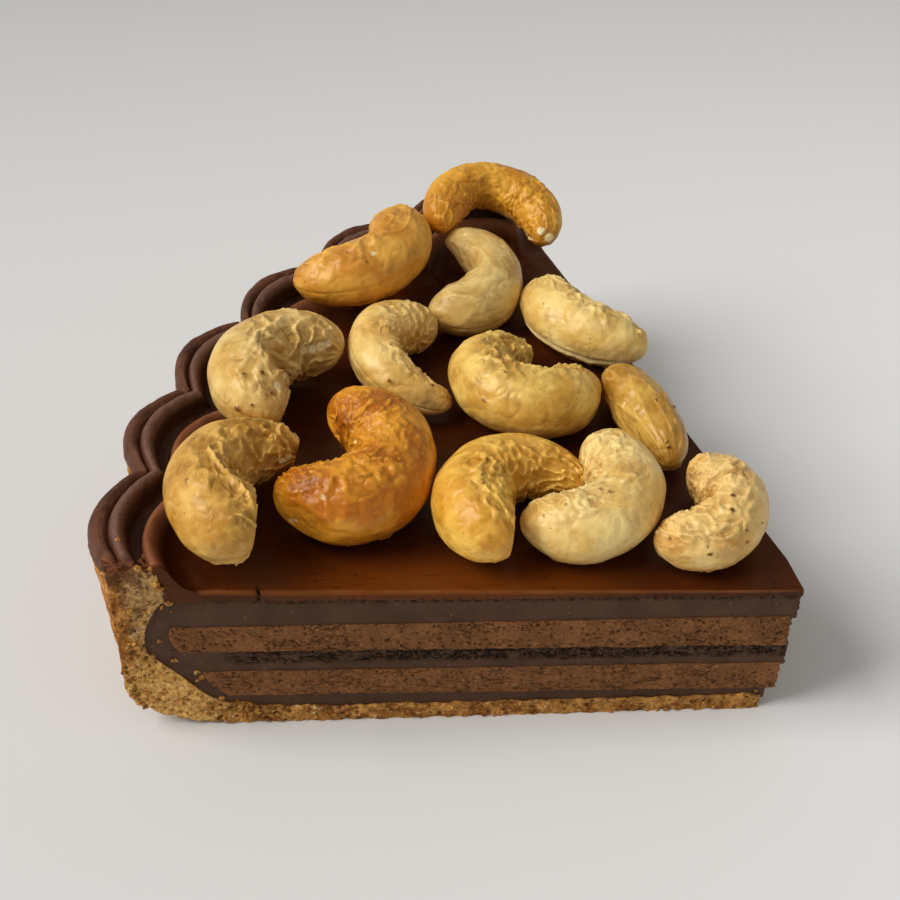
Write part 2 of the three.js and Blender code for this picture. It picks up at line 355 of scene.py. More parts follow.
class Finish:
    """A material that is built one node at a time, with patterns measured in millimetres."""

    def __init__(self, name):
        self.material = bpy.data.materials.new(name)
        self.material.use_nodes = True
        self.tree = self.material.node_tree
        self.tree.nodes.clear()
        place = self.node("ShaderNodeTexCoord", output="Object")
        self.place = self.node(
            "ShaderNodeVectorMath", {"operation": "SCALE"}, {0: place, "Scale": 1 / MM})

    def node(self, kind, settings=None, inputs=None, output=0):
        """Adds a node: its settings first, then the value or the link of each input."""
        node = self.tree.nodes.new(kind)
        for name, value in (settings or {}).items():
            setattr(node, name, value)
        for name, value in (inputs or {}).items():
            if isinstance(value, Wire):
                self.tree.links.new(value.socket, node.inputs[name])
            else:
                node.inputs[name].default_value = value
        return Wire(self, node.outputs[output]) if node.outputs else None

    def mark(self, name):
        """A value that the modelling left on the mesh."""
        return self.node("ShaderNodeAttribute", {"attribute_name": name}, output="Fac")

    def along(self, axis):
        """How far along an axis a place is, in millimetres."""
        return self.node("ShaderNodeSeparateXYZ", inputs={0: self.place}, output=axis)

    def shifted(self, offset, stretch):
        mapping = {"Vector": self.place, "Location": offset, "Scale": stretch}
        return self.node("ShaderNodeMapping", {"vector_type": "POINT"}, mapping)

    def cloud(self, size, detail=2.0, rough=0.5, offset=(0, 0, 0), stretch=(1, 1, 1), warp=0.0):
        """Cloudy unevenness about 0.5, its lumps about size millimetres across."""
        values = {
            "Vector": self.shifted(offset, stretch), "Scale": 1 / size, "Detail": detail,
            "Roughness": rough, "Distortion": warp}
        return self.node("ShaderNodeTexNoise", {"noise_dimensions": "3D"}, values, "Fac")

    def lines(self, wide, narrow, *cloud, **more):
        """Thin wandering lines, where a cloud passes its middle: 1 within narrow of it, 0 past wide."""
        return abs(self.cloud(*cloud, **more) - 0.5).rise(wide, narrow)

    def cells(self, size, offset=(0, 0, 0), stretch=(1, 1, 1), output="Distance"):
        values = {"Vector": self.shifted(offset, stretch), "Scale": 1 / size}
        return self.node("ShaderNodeTexVoronoi", {"feature": "F1"}, values, output)

    def specks(self, size, share, radius, offset=(0, 0, 0), stretch=(1, 1, 1)):
        """Round specks, one in some of the cells of a size; share is how many cells have one."""
        near = self.cells(size, offset, stretch)
        tint = self.cells(size, offset, stretch, output="Color")
        chosen = self.node("ShaderNodeSeparateColor", inputs={0: tint})
        return near.rise(radius, radius * 0.5) * chosen.rise(share + 0.02, share)

    def blend(self, amount, first, second):
        settings = {"data_type": "RGBA", "blend_type": "MIX", "clamp_factor": True}
        return self.node("ShaderNodeMix", settings, {0: amount, 6: first, 7: second}, 2)

    def coats(self, base, *coats):
        """Lays colours over a base one after another, each as far as its own amount."""
        for amount, tint in coats:
            base = self.blend(amount, base, tint)
        return base

    def bump(self, height, distance, strength, under=None):
        """A normal from a height; distance is the height's reach in millimetres."""
        values = {"Height": height, "Distance": distance * MM, "Strength": strength}
        if under is not None:
            values["Normal"] = under
        return self.node("ShaderNodeBump", inputs=values, output="Normal")

    def surface(self, **values):
        """Ends the material. The shader's sockets are named with _ for a space."""
        inputs = {name.replace("_", " "): value for name, value in values.items()}
        shader = self.node("ShaderNodeBsdfPrincipled", inputs=inputs, output="BSDF")
        self.node("ShaderNodeOutputMaterial", inputs={"Surface": shader})
        return self.material


WARM = (1.0, 0.62, 0.36, 1.0)  # the tint of chocolate's own gloss


def mousse_finish():
    f = Finish("mousse")
    fine = f.cloud(0.5, 3.0, 0.7)
    cracks = f.lines(0.016, 0.0, 1.5, 2.0, 0.55, offset=(3, 9, 1), stretch=(1, 1, 2.6))
    cracks = cracks * f.cloud(4.0, 1.0, offset=(40, 0, 7)).rise(0.46, 0.6)
    pores = f.specks(0.75, 0.35, 0.28, stretch=(1, 1, 1.4))
    base = f.coats(
        colour(118, 75, 42),
        (f.cloud(3.2, 3.0, 0.6).rise(0.35, 0.7), colour(138, 90, 53)),
        ((cracks * 0.85 + pores * 0.4).clamped(), colour(46, 25, 12)),
        (fine.rise(0.52, 0.7) * 0.6, colour(166, 114, 68)),
        (f.specks(0.7, 0.3, 0.25, offset=(2, 7, 4)) * 0.6, colour(186, 136, 84)),
        (fine.rise(0.45, 0.25) * 0.4, colour(70, 40, 20)),
        (f.mark("pit"), colour(34, 16, 7)))
    normal = f.bump(fine, 0.36, 0.9)
    normal = f.bump(cracks + pores, -0.25, 0.9, normal)
    return f.surface(
        Base_Color=base, Roughness=0.62, Specular_IOR_Level=0.25, Specular_Tint=WARM, Normal=normal)


def ganache_finish():
    f = Finish("ganache")
    lines = f.lines(0.045, 0.012, 1.5, 3.0, 0.6, offset=(6, 2, 1), stretch=(1, 1, 1.7))
    lines = lines * f.mark("crumbly") * f.cloud(3.0, 2.0, offset=(2, 9, 9)).rise(0.36, 0.48)
    base = f.coats(
        colour(66, 44, 32),
        (f.cloud(5.0, 3.0, 0.55).rise(0.3, 0.7), colour(80, 55, 41)),
        (f.specks(1.1, 0.18, 0.16), colour(126, 94, 70)),
        (f.specks(0.9, 0.25, 0.2, offset=(5, 5, 5)), colour(34, 20, 13)),
        (f.mark("pit"), colour(20, 10, 5)),
        (lines * 0.9, colour(16, 8, 4)))
    normal = f.bump(f.cloud(0.4, 3.0, 0.65), 0.1, 0.7)
    normal = f.bump(lines, -0.5, 0.9, normal)
    return f.surface(
        Base_Color=base, Roughness=0.52, Specular_IOR_Level=0.3, Specular_Tint=WARM, Normal=normal)


def glaze_finish():
    f = Finish("glaze")
    tone, lip = f.cloud(16.0, 3.0, 0.5), f.mark("lip")
    x, y = f.along("X") - TIP.x / MM, f.along("Y") - TIP.y / MM
    # painted sheen: lighter in a band along the middle of the front
    painted_sheen = x.rise(-88, -62) * x.rise(-18, -40) * y.rise(9, 2)
    lines = f.lines(0.012, 0.0, 6.0, 2.0, 0.5, offset=(1, 1, 1), stretch=(0.5, 3.0, 1), warp=0.3)
    lines = lines * y.rise(7, 3) * f.cloud(9.0, 1.0, offset=(4, 4, 4)).rise(0.5, 0.6)
    wander = f.cloud(1.6, 2.0, 0.5, offset=(9, 9, 2)) - 0.5
    split = abs(x + wander * 1.6 + CRACK_RADIUS).rise(0.17, 0.06) * y.rise(1.7, 1.0)
    base = f.coats(
        colour(64, 27, 7),
        (tone.rise(0.3, 0.7), colour(80, 36, 9)),
        (painted_sheen * 0.8, colour(112, 54, 12)),
        (f.cloud(2.4, 3.0, 0.6, offset=(6, 1, 4)).rise(0.52, 0.7) * 0.35, colour(92, 46, 16)),
        (lip, f.blend(tone.rise(0.35, 0.65), colour(146, 90, 60), colour(176, 114, 82))),
        # painted highlight along the rounded cut edge
        (f.mark("edge"), colour(132, 76, 38)),
        ((f.mark("pit") + lines * 0.7 + split).clamped(), colour(18, 7, 3)))
    rough = 0.24 + f.cloud(6.0, 4.0, 0.6, offset=(2, 8, 0)) * 0.2 + lip * 0.15
    normal = f.bump(f.cloud(3.0, 3.0, 0.5), 0.12, 0.6)
    normal = f.bump(f.cloud(0.6, 2.0, 0.5), 0.02, 0.5, normal)
    return f.surface(
        Base_Color=base, Roughness=rough, Specular_IOR_Level=0.26,
        Specular_Tint=(1.0, 0.55, 0.25, 1.0), Normal=normal)


def chocolate_finish():
    f = Finish("piped_chocolate")
    smeared = f.blend(f.cloud(0.9, 3.0, 0.6).rise(0.4, 0.6), colour(74, 36, 22), colour(142, 82, 46))
    base = f.coats(
        colour(70, 38, 25),
        (f.cloud(4.0, 3.0, 0.6).rise(0.3, 0.7), colour(98, 57, 38)),
        # painted sheen along the rope's ridge
        (f.mark("edge"), colour(118, 88, 76)),
        # pits at the cuts, and painted shade in the valley inside the rope
        (f.mark("pit"), colour(26, 13, 8)),
        (f.mark("rubbed"), smeared))
    normal = f.bump(f.cloud(1.8, 4.0, 0.6, offset=(1, 4, 2)), 0.55, 0.8)
    normal = f.bump(f.cloud(0.35, 2.0, 0.6), 0.1, 0.6, normal)
    rough = 0.42 + f.cloud(2.2, 3.0, 0.6, offset=(3, 3, 3)) * 0.28
    return f.surface(
        Base_Color=base, Roughness=rough, Specular_IOR_Level=0.3,
        Specular_Tint=(1.0, 0.74, 0.56, 1.0), Normal=normal)


def crust_finish():
    f = Finish("baked_crust")
    tone, fine, golden = f.cloud(2.6, 4.0, 0.65), f.cloud(0.6, 3.0, 0.7), f.mark("golden")
    grey = f.blend(fine.rise(0.3, 0.7), colour(146, 104, 60), colour(214, 178, 124))
    toasted = f.blend(tone.rise(0.3, 0.7), colour(132, 70, 26), colour(204, 136, 66))
    buttery = f.blend(fine.rise(0.3, 0.65), colour(176, 120, 52), colour(250, 200, 118))
    # painted shade in patches over the crust, weaker where it is golden
    painted_shade_patches = f.cloud(0.9, 3.0, 0.7, offset=(3, 3, 9)).rise(0.5, 0.34) * (0.6 - golden * 0.4)
    dark = 1 - golden * 0.65
    base = f.coats(
        colour(140, 88, 40),
        (tone.rise(0.35, 0.68), colour(222, 162, 86)),
        (f.mark("pale"), grey),
        (f.cloud(1.1, 2.0, 0.6, offset=(7, 2, 9)).rise(0.56, 0.7) * 0.7, colour(220, 176, 88)),
        (f.mark("browned"), toasted),
        (golden, buttery),
        (painted_shade_patches, colour(92, 54, 24)),
        (f.cloud(1.0, 3.0, 0.7, offset=(8, 6, 1)).rise(0.55, 0.72) * 0.6, colour(238, 204, 138)),
        (f.specks(1.3, 0.14, 0.22, offset=(1, 2, 3)), colour(236, 214, 168)),
        (f.specks(1.0, 0.2, 0.24, offset=(4, 2, 3)) * dark, colour(84, 48, 18)),
        # pits at the cut, and painted shade in the dips of the outside
        (f.mark("pit") * dark, colour(70, 38, 14)),
        (f.mark("smear"), colour(98, 58, 36)))
    normal = f.bump(f.cells(1.1, offset=(2, 9, 4)), -0.4, 0.8)
    normal = f.bump(fine, 0.45, 0.9, normal)
    return f.surface(
        Base_Color=base, Roughness=0.8, Specular_IOR_Level=0.2, Specular_Tint=WARM, Normal=normal)


def cashew_finish(name, pale, body, deep, seed, freckles, gloss):
    """One cashew's finish: pale on its ridges, toasted in places, with painted shade in its creases and
    on its lower half.
    """
    f = Finish(name)
    offset = (seed * 13.7, seed * 5.3, seed * 9.1)
    fine, ridge, wrinkled = f.cloud(0.8, 3.0, 0.6, offset=offset), f.mark("ridge"), f.mark("wrinkled")
    crumple = abs(f.cloud(2.7, 1.0, 0.5, offset=(seed, 7, 5)) - 0.5) * (wrinkled * 0.65 + 0.35)
    dots = f.specks(1.3, freckles, 0.15, offset=offset)
    dots = dots + f.specks(0.8, freckles, 0.16, offset=(seed, seed, 2))
    base = f.coats(
        body,
        (f.cloud(6.0, 3.0, 0.55, offset=offset).rise(0.36, 0.64), pale),
        (f.cloud(3.6, 3.0, 0.6, offset=(seed, 3, 8)).rise(0.5, 0.7) * 0.4, deep),
        (fine.rise(0.53, 0.74) * 0.35, pale),
        (ridge.rise(0.1, 0.9) * 0.75, pale),
        # painted shade in the creases between the ridges
        (wrinkled * ridge.rise(0.5, 0.0) * 0.4, deep),
        (f.mark("stain") * fine.rise(0.35, 0.6) * 0.5, deep),
        # painted shade: the lower half darker
        (f.mark("under") * 0.6, deep),
        ((dots * 0.75).clamped(), colour(104, 56, 16)),
        (f.mark("pit"), colour(112, 62, 22)),
        (f.mark("flake"), colour(248, 228, 172)))
    normal = f.bump(crumple, 2.2, 0.8)
    normal = f.bump(fine, 0.1, 0.7, normal)
    normal = f.bump(f.cloud(0.3, 2.0, 0.5, offset=offset), 0.04, 0.6, normal)
    rough = gloss - 0.12 + 0.3 * (fine - 0.5)
    return f.surface(
        Base_Color=base, Roughness=rough, Specular_IOR_Level=0.5,
        Specular_Tint=(1.0, 0.9, 0.72, 1.0), Normal=normal, Subsurface_Weight=0.05,
        Subsurface_Radius=(1.0, 0.6, 0.3), Subsurface_Scale=0.6 * MM)


def floor_finish():
    """A pale floor with painted shade: it darkens away from the camera and towards the left."""
    f = Finish("floor")
    away, across = f.along("Y").rise(20, 330), f.along("X").rise(-260, 200)
    base = f.blend(away, (0.87, 0.865, 0.845, 1.0), (0.47, 0.457, 0.436, 1.0))
    base = f.blend(across, f.blend(0.26, base, (0.0, 0.0, 0.0, 1.0)), base)
    return f.surface(Base_Color=base, Roughness=0.7, Specular_IOR_Level=0.2)


# ---------------------------------------------------------------------------------------------
# Roughness of the cuts. Each gives how far the surface stands back and how much of a pit it is.

def cracks(r, z, seed, length, height, width):
    """Thin wandering lines, 1 in the middle of a line."""
    n = grain(r / length + seed, z / height, seed * 3.1)
    return clamp(1 - abs(n) / width)


def pits(r, z, seed, size, share, radius):
    """Round pits, one in some of the cells of a size."""
    near, where = noise.voronoi(Vector((r / size, z / size, seed)))
    if noise.cell(where[0] * 9.7) > share:
        return 0.0
    return ramp(radius, radius * 0.35, near[0])


def mousse_cut(r, z, seed, deep=1.0):
    there = ramp(-0.1, 0.35, grain(r / 5 + seed, z / 2.2, 4))
    short = ramp(0.15, 0.5, grain(r / 3, z / 3, seed + 9))
    crack = cracks(r, z, seed, 2.2, 0.75, 0.1) * there
    crack = max(crack, cracks(r, z, seed + 30, 0.8, 0.9, 0.07) * short)
    pit = pits(r, z, seed, 0.9, 0.35, 0.36)
    back = 0.1 * grain(r / 1.7, z / 1.1, seed) + 0.07 * grain(r / 0.55, z / 0.5, seed)
    back += deep * (0.3 * crack + 0.24 * pit)
    return back, clamp(0.75 * crack + 0.6 * pit) * min(1.0, deep)


def ganache_cut(r, z, seed, crumbly):
    back = 0.05 * grain(r / 2.3, z / 1.8, seed) + 0.02 * grain(r / 0.6, z / 0.6, seed)
    if crumbly <= 0:
        return back, 0.0
    crack = max(cracks(r, z, seed, 2.2, 0.45, 0.15), cracks(r, z, seed + 40, 0.8, 0.6, 0.13))
    crack *= ramp(-0.45, 0.1, grain(r / 2.6, z / 1.1, seed + 7))
    pit = pits(r, z, seed + 3, 0.7, 0.5, 0.4)
    deep = clamp(crack + 0.8 * pit) * crumbly
    return back + 0.4 * deep, deep


def crust_cut(r, z, seed):
    lumps = grain(r / 1.5, z / 1.3, seed) * 0.35 + grain(r / 0.6, z / 0.6, seed + 3) * 0.16
    pit = pits(r, z, seed + 5, 0.95, 0.5, 0.42)
    deep = max(pit, ramp(0.1, 0.45, lumps))
    return clamp(0.1 + lumps, -0.35, 0.5) + 0.25 * pit, 0.85 * deep


# ---------------------------------------------------------------------------------------------
# The layers

LAYER_RINGS = rings_round(5)
CELL = 0.2  # the size of a cut's cells in the fillings
FILLING_START, FILLING_END, HALFWAY = 1.5, 88, 40  # radii along a filling
RAGGED_SHARE = 0.02  # how much of a filling, next to the tip, is ragged
GANACHE_BACK = 0.16  # ganache stands back from the cut by this much, and runs on behind the mousse


def lining(z):
    """The radius of the lining's inner face at a height."""
    return read_line(LINING_FACE, z)


def round_end(low, high, radius):
    """A layer's rounded end against the lining."""
    middle, half = (low + high) / 2, (high - low) / 2

    def outer(z):
        t = clamp(abs(z - middle) / half)
        return lining(z) - radius * (1 - math.sqrt(max(0.0, 1 - t ** 2.4)))
    return outer


def ragged(name, u, z, bearing):
    """Crumbs on the blunt tip."""
    if u > RAGGED_SHARE:
        return 0.0
    return grain(z / 0.8, bearing / 30, len(name)) * (1 - u / RAGGED_SHARE)


def filling_layer(name, finish, high, below, above, step, outer, rough, recess, marks=("pit",)):
    """A level layer, from its own lower face to the one named high. below and above are how far it
    runs on past them, behind its neighbours; step is how far it stands back at the tip, and recess
    at the cuts; outer gives its end at a height, and rough the roughness and the marks of a cut."""
    thick = face_height(high, HALFWAY) - face_height(name, HALFWAY)
    cells = (int(FILLING_END / CELL), int(thick / CELL))

    def place(u, v, ring):
        r_mid = mix(FILLING_START, FILLING_END, u)
        angle = ring_angle(ring, r_mid, 0)
        x, y = spot(r_mid, angle)
        z_low = face_height(name, r_mid) + layer_wave(name, x, y) - below
        z_high = face_height(high, r_mid) + layer_wave(high, x, y) + above
        z = mix(z_low, z_high, v)
        bearing = math.degrees(angle)
        start = tip_radius(bearing, step) + 0.35 * ragged(name, u, z, bearing)
        r = mix(start, outer(z), u)
        distance, _, side = ring
        back, *values = rough(r, z, side)
        if distance is None:
            values = [0 for _ in values]
        return at(r, ring_angle(ring, r, back + recess), z), values

    wrapped_block(name + "_slab", cells, LAYER_RINGS, place, finish, [name], marks)


def make_layers():
    mousse, ganache = mousse_finish(), ganache_finish()
    filling_layer(
        "mousse_lower", mousse, "ganache_middle", 0, 0, 1.0, round_end(5.6, 11.2, 0.7),
        lambda r, z, side: mousse_cut(r, z, 3.3 + CUT_SEED * side, 0.8), 0.0)
    filling_layer(
        "mousse_upper", mousse, "ganache_top", 0, 0, 0.8, round_end(14.8, 20.9, 2.2),
        lambda r, z, side: mousse_cut(r, z, 8.1 + CUT_SEED * side), 0.0)

    def middle_cut(r, z, side):
        low, high = face_height("ganache_middle", r), face_height("mousse_upper", r)
        up = (z - low) / (high - low)
        crumbly = ramp(0.3, 0.5, up + 0.12 * grain(r / 3, 0, side)) * ramp(84, 78, r)
        return *ganache_cut(r, z, 5.5 + CUT_SEED * side, crumbly), crumbly

    filling_layer(
        "ganache_middle", ganache, "mousse_upper", 0.4, 0.4, 0.5,
        lambda z: lining(z) + 0.6, middle_cut, GANACHE_BACK, ("pit", "crumbly"))

    def top_cut(r, z, side):
        close = ramp(0.6, 0.2, abs(face_height("glaze", r) - 0.2 - z))
        back, deep = ganache_cut(r, z, 9.5 + CUT_SEED * side, close * 0.4)
        pore = pits(r, z, 4.4 + side, 0.55, 0.75, 0.5) * close * ramp(86, 70, r)
        return back + 0.5 * pore, max(deep, pore)

    filling_layer(
        "ganache_top", ganache, "glaze", 0.4, 0.3, 0.2,
        lambda z: lining(z) + 1.6, top_cut, GANACHE_BACK)
    return ganache


LINING_SECTION = [  # points on the lowest ganache's outside and inside, from the tip out and up
    ((3.5, 2.0), (3.5, 4.9)), ((20, 2.0), (20, 5.2)), ((40, 2.0), (40, 5.6)),
    ((60, 2.2), (60, 5.9)), ((74, 2.8), (74, 6.1)), ((81.5, 4.0), (79.5, 6.3)),
    ((85.6, 5.6), (82.4, 7.6)), ((88.3, 9.0), (84.4, 10.4)), ((91.4, 12.7), (86.2, 13.2)),
    ((93.7, 15.7), (88.4, 16)), ((93.6, 20), (88.8, 20)), ((91.8, 24), (87.8, 24)),
    ((90.4, 26), (87, 25.2)),
]
LINING_TIP_SHARE = 0.08  # how much of that section follows the blunt tip


def make_ganache_bottom(ganache):
    outside, inside = zip(*LINING_SECTION)

    def place(u, v, ring):
        outer, inner = read_curve(outside, u), read_curve(inside, u)
        r, z = mix(outer[0], inner[0], v), mix(outer[1], inner[1], v)
        back, _ = ganache_cut(r, z, 2.5 + CUT_SEED * ring[2], 0)
        bearing = math.degrees(ring_angle(ring, r, 0))
        if u < LINING_TIP_SHARE:
            r += (tip_radius(bearing) - TIP_CUT) * (1 - u / LINING_TIP_SHARE)
        return at(r, ring_angle(ring, r, back + 2 * GANACHE_BACK), z), (0,)

    wrapped_block(
        "ganache_bottom_slab", (300, 14), LAYER_RINGS, place, ganache,
        ["ganache_bottom"], ("pit",))


# ---------------------------------------------------------------------------------------------
# The crust

CRUST_SECTION = [  # points on its outside and inside, from the tip out and up
    ((4, 0), (4, 2.8)), ((30, 0), (30, 2.9)), ((58, 0), (58, 2.9)), ((76, 0), (74, 3.3)),
    ((85, 0.5), (81, 4.2)), ((90.5, 1.8), (85, 5.8)), ((94.3, 4), (87.8, 9)),
]
CRUST_WALL = [  # further up: heights on its fluted outside, and points on its inside
    (7, (91, 12.6)), (13, (93.3, 15.6)), (19, (93.2, 20)), (24, (91.6, 24)), (27.5, (90.1, 26.5))]
SECTION_COUNT = len(CRUST_SECTION) + len(CRUST_WALL)
BASE_SPANS = 3  # the sections that lie flat under the fillings
TIP_SPAN = 0.35  # the part of the first that follows the blunt tip


@lru_cache(maxsize=None)
def crust_sides(bearing):
    """The crust's outside and inside in section at a bearing."""
    outside = [outer for outer, _ in CRUST_SECTION]
    outside += [(wall_radius(z, bearing), z) for z in [z for z, _ in CRUST_WALL] + [CRUST_TOP]]
    inside = [inner for _, inner in CRUST_SECTION + CRUST_WALL]
    return outside, inside + [(lip_radius(bearing) + 0.3, CRUST_TOP)]


def crust_point(section, v, bearing):
    """A point of the crust at a place along its section, and the crust's thickness there. v runs
    from its outside to its inside."""
    outside, inside = crust_sides(bearing)
    share = section / SECTION_COUNT
    outer, inner = read_curve(outside, share), read_curve(inside, share)
    return mix(outer[0], inner[0], v), mix(outer[1], inner[1], v), math.dist(outer, inner)


def crust_piece(name, first, last, cells, rings, finish):
    def place(u, v, ring):
        distance, _, side = ring
        section = mix(first, last, u)
        bearing = math.degrees(ring_angle(ring, WALL_MIDDLE, 0))
        r, z, thick = crust_point(section, v, bearing)
        x, y = spot(r, ring_angle(ring, r, 0))
        # crumbs on the outside, and a lumpy boundary on the inside
        rough = 0.3 * grain(x / 1.6, y / 1.6, z / 1.6) + 0.14 * grain(x / 0.7, y / 0.7, z / 0.7 + 9)
        out_share = ramp(0.35, 0, v)
        if section > BASE_SPANS:
            r += rough * out_share
            z -= 0.4 * rough * out_share * ramp(8, 2, z)
        else:
            z += max(-z, 0.5 * rough) * out_share * (0.6 if z < 0.2 else 1)
        lumps = 0.55 * grain(x / 2.4, y / 2.4, 31) + 0.3 * grain(x / 1.1, y / 1.1, 17)
        z = max(z + ramp(0.6, 1, v) * lumps * ramp(6, 4, z), 0.0)
        if section < TIP_SPAN:
            r += (tip_radius(bearing) - TIP_CUT) * (1 - section / TIP_SPAN)
            r += 0.5 * grain(z / 0.9, bearing / 25, 3) * (1 - section / TIP_SPAN)
        back, pit = crust_cut(r, z, 7.7 + CUT_SEED * side)
        at_cut = distance is not None and distance < 0.2
        edge = ramp(2.6, 0.6, v * thick + 0.9 * grain(r / 2, z / 2, 6))
        if not at_cut:
            # on the outside the pit mark is painted shade in the dips of the lumps
            edge, pit = 1.0, ramp(0.05, 0.3, -rough) * 0.7
        if section < BASE_SPANS + 1:
            edge *= mix(0.35, 1, ramp(BASE_SPANS, BASE_SPANS + 1, section))
        pale = ramp(12, 20, z + 2 * grain(r / 3, z / 3, 1)) * (1 - edge) * ramp(0, 0.3, v)
        smear = 0.85 * ramp(27.4, 29.8, z + 3 * grain(r / 1.6, z / 1.6, 2)) * ramp(0.8, 0.4, v) * at_cut
        # the top lies low under the piped edge, and stands up in crumbs at the cuts
        if distance is None or distance > 0.6:
            z -= 0.7 * ramp(29, CRUST_TOP, z)
        else:
            crumbs = 0.7 + 1.5 * grain(r / 1.5, 0, 9)
            z += ramp(28, CRUST_TOP, z) * crumbs * ramp(0.6, 0.2, distance) * ramp(0.1, 0.3, v)
        golden = 0.95 * at_cut * ramp(80, 88, r) * ramp(16, 11, z) * (1 - pit)
        values = (pit, 0.75 * edge, 0.8 * pale, smear, golden)
        return at(r, ring_angle(ring, r, back - 0.05), z), values

    marks = ("pit", "browned", "pale", "smear", "golden")
    wrapped_block(name, cells, rings, place, finish, ["crust"], marks)


def make_crust():
    finish = crust_finish()
    crust_piece("crust_base", 0, 4, (240, 9), rings_round(8), finish)
    crust_piece("crust_wall", 4, SECTION_COUNT, (110, 18), rings_round(120), finish)


# ---------------------------------------------------------------------------------------------
# The glaze and the piped edge

MENISCUS = [  # the glaze's rise to its lip: how far in from the lip, and height
    (5.2, 27.3), (3.4, 28.4), (2.3, 29.8), (1.6, 31.0), (0.95, 31.8), (0.3, 32.1), (-0.15, 31.8),
    (-0.4, 31.1)]
MENISCUS_REACH = 9.5
FOOT_BEND, FOOT_END = 82, 90.2  # the radii between which its underside lags behind the rise
LEVEL_CELLS, LIP_CELLS = 210, 56
GLAZE_FILLET = 0.45  # the rounding of its cut edge


@lru_cache(maxsize=None)
def meniscus(bearing):
    """The rise at a bearing, from where the glaze is still level."""
    level = face_height("top", lip_radius(bearing) - MENISCUS_REACH)
    return [(MENISCUS_REACH, level), (7.4, level + 0.17)] + MENISCUS


def crack_in_edge(r, ring):
    distance, _, side = ring
    if side or distance is None or distance > 1.2:
        return 0.0
    return ramp(0.2, 0.05, abs(r - CRACK_RADIUS))


def make_glaze():
    cells = (LEVEL_CELLS + LIP_CELLS, 5)

    def place(u, v, ring):
        distance, _, side = ring
        k = u * cells[0]
        bearing = math.degrees(ring_angle(ring, WALL_MIDDLE, 0))
        lip = lip_radius(bearing)
        if k <= LEVEL_CELLS:
            start = tip_radius(math.degrees(ring_angle(ring, 2, 0)))
            r = mix(start, lip - MENISCUS_REACH, k / LEVEL_CELLS)
            z_top = face_height("top", r)
        else:
            inset, z_top = read_curve(meniscus(bearing), (k - LEVEL_CELLS) / LIP_CELLS)
            r = lip - inset
            lumps = 0.3 * grain(r / 2.6, bearing / 1.6, 15)
            z_top += lumps * clamp(inset / 0.5) * ramp(1, 0.8, inset / MENISCUS_REACH)
        x, y = spot(r, ring_angle(ring, r, 0))
        z_top += 0.1 * grain(x / 11, y / 11, 2) + 0.03 * grain(x / 3, y / 3, 8)
        foot = r
        if r >= FOOT_BEND:
            foot = mix(FOOT_BEND, FOOT_END, clamp((r - FOOT_BEND) / (lip - FOOT_BEND)))
        low = face_height("glaze", foot) + layer_wave("glaze", x, y)
        low += 0.16 * grain(r / 0.5, side * 9, 5)
        r_here, z = mix(foot, r, v), mix(low, z_top, v)
        pit = edge = 0.0
        back = 0.05 * grain(r / 1.2, z / 0.8, 3 + side) + 0.05 * grain(r / 0.4, z / 0.4, 6 + side)
        if distance is not None and k <= LEVEL_CELLS + 12:
            # the cut edge is rounded over, and a painted highlight runs along it
            across = GLAZE_FILLET * min(1.0, r / 6)
            over = clamp(1 - distance / across)
            z -= across * (1 - math.sqrt(max(0.0, 1 - over * over))) * v
            edge = ramp(0.4, 0.1, abs(distance - 0.2)) * ramp(0.85, 1, v)
            edge *= 0.6 + 0.5 * grain(r / 4, 0, 7)
            if distance < 0.15:
                pores = ramp(0.0, 0.25, grain(r / 0.5, 3, side)) * ramp(0.4, 0.1, v) * ramp(86, 68, r)
                pit = max(0.3 * ramp(1, 0.7, v), pores)
        crack = crack_in_edge(r + 0.5 * grain(z / 0.8, (distance or 0) / 0.8, 1), ring)
        back += 0.6 * crack
        lip_share = 0.8 * ramp(2.6, 1.0, lip - r) * v if k > LEVEL_CELLS else 0.0
        if distance is not None:
            lip_share *= ramp(0.2, 1.0, distance)
        values = (clamp(max(pit, crack)), clamp(edge), lip_share)
        return at(r_here, ring_angle(ring, r_here, back), z), values

    wrapped_block(
        "glaze_coat", cells, rings_round(74), place, glaze_finish(), ["glaze"],
        ("pit", "edge", "lip"))


# The piped edge's upper side: places between the valley and the ridge, then between the ridge and
# the wall's outside, each a share of that distance and a height
INNER_ROPE = [(1.12, 30.9), (0.92, 31.1), (0.62, 31.2), (0.47, 32.2), (0.36, 33.4), (0.18, 34.25)]
OUTER_BAND = [
    (0, 34.5), (0.14, 34.3), (0.24, 33.7), (0.3, 33.0), (0.37, 33.35), (0.5, 33.75), (0.66, 33.75),
    (0.82, 33.3), (0.94, 32.6), (1.01, 31.6), (1.0, 30.7)]
END_ROUNDING, END_DROP = 1.0, 2.0  # how far back the edge's cut ends are rounded, and how far down
CUSP_DROP = 0.9  # how far the rope dives under its neighbour just past a cusp
EDGE_FOOT = 30.6
RIDGE_PLACE = 0.37  # where the ridge lies across it


@lru_cache(maxsize=None)
def edge_profile(bearing):
    """The piped edge's upper side at a bearing, from the valley out."""
    ridge = rope_radius(bearing)
    outer = wall_radius(CRUST_TOP, bearing)
    inner_side = [(ridge - share * VALLEY_WIDTH, z) for share, z in INNER_ROPE]
    return inner_side + [(mix(ridge, outer, share), z) for share, z in OUTER_BAND]


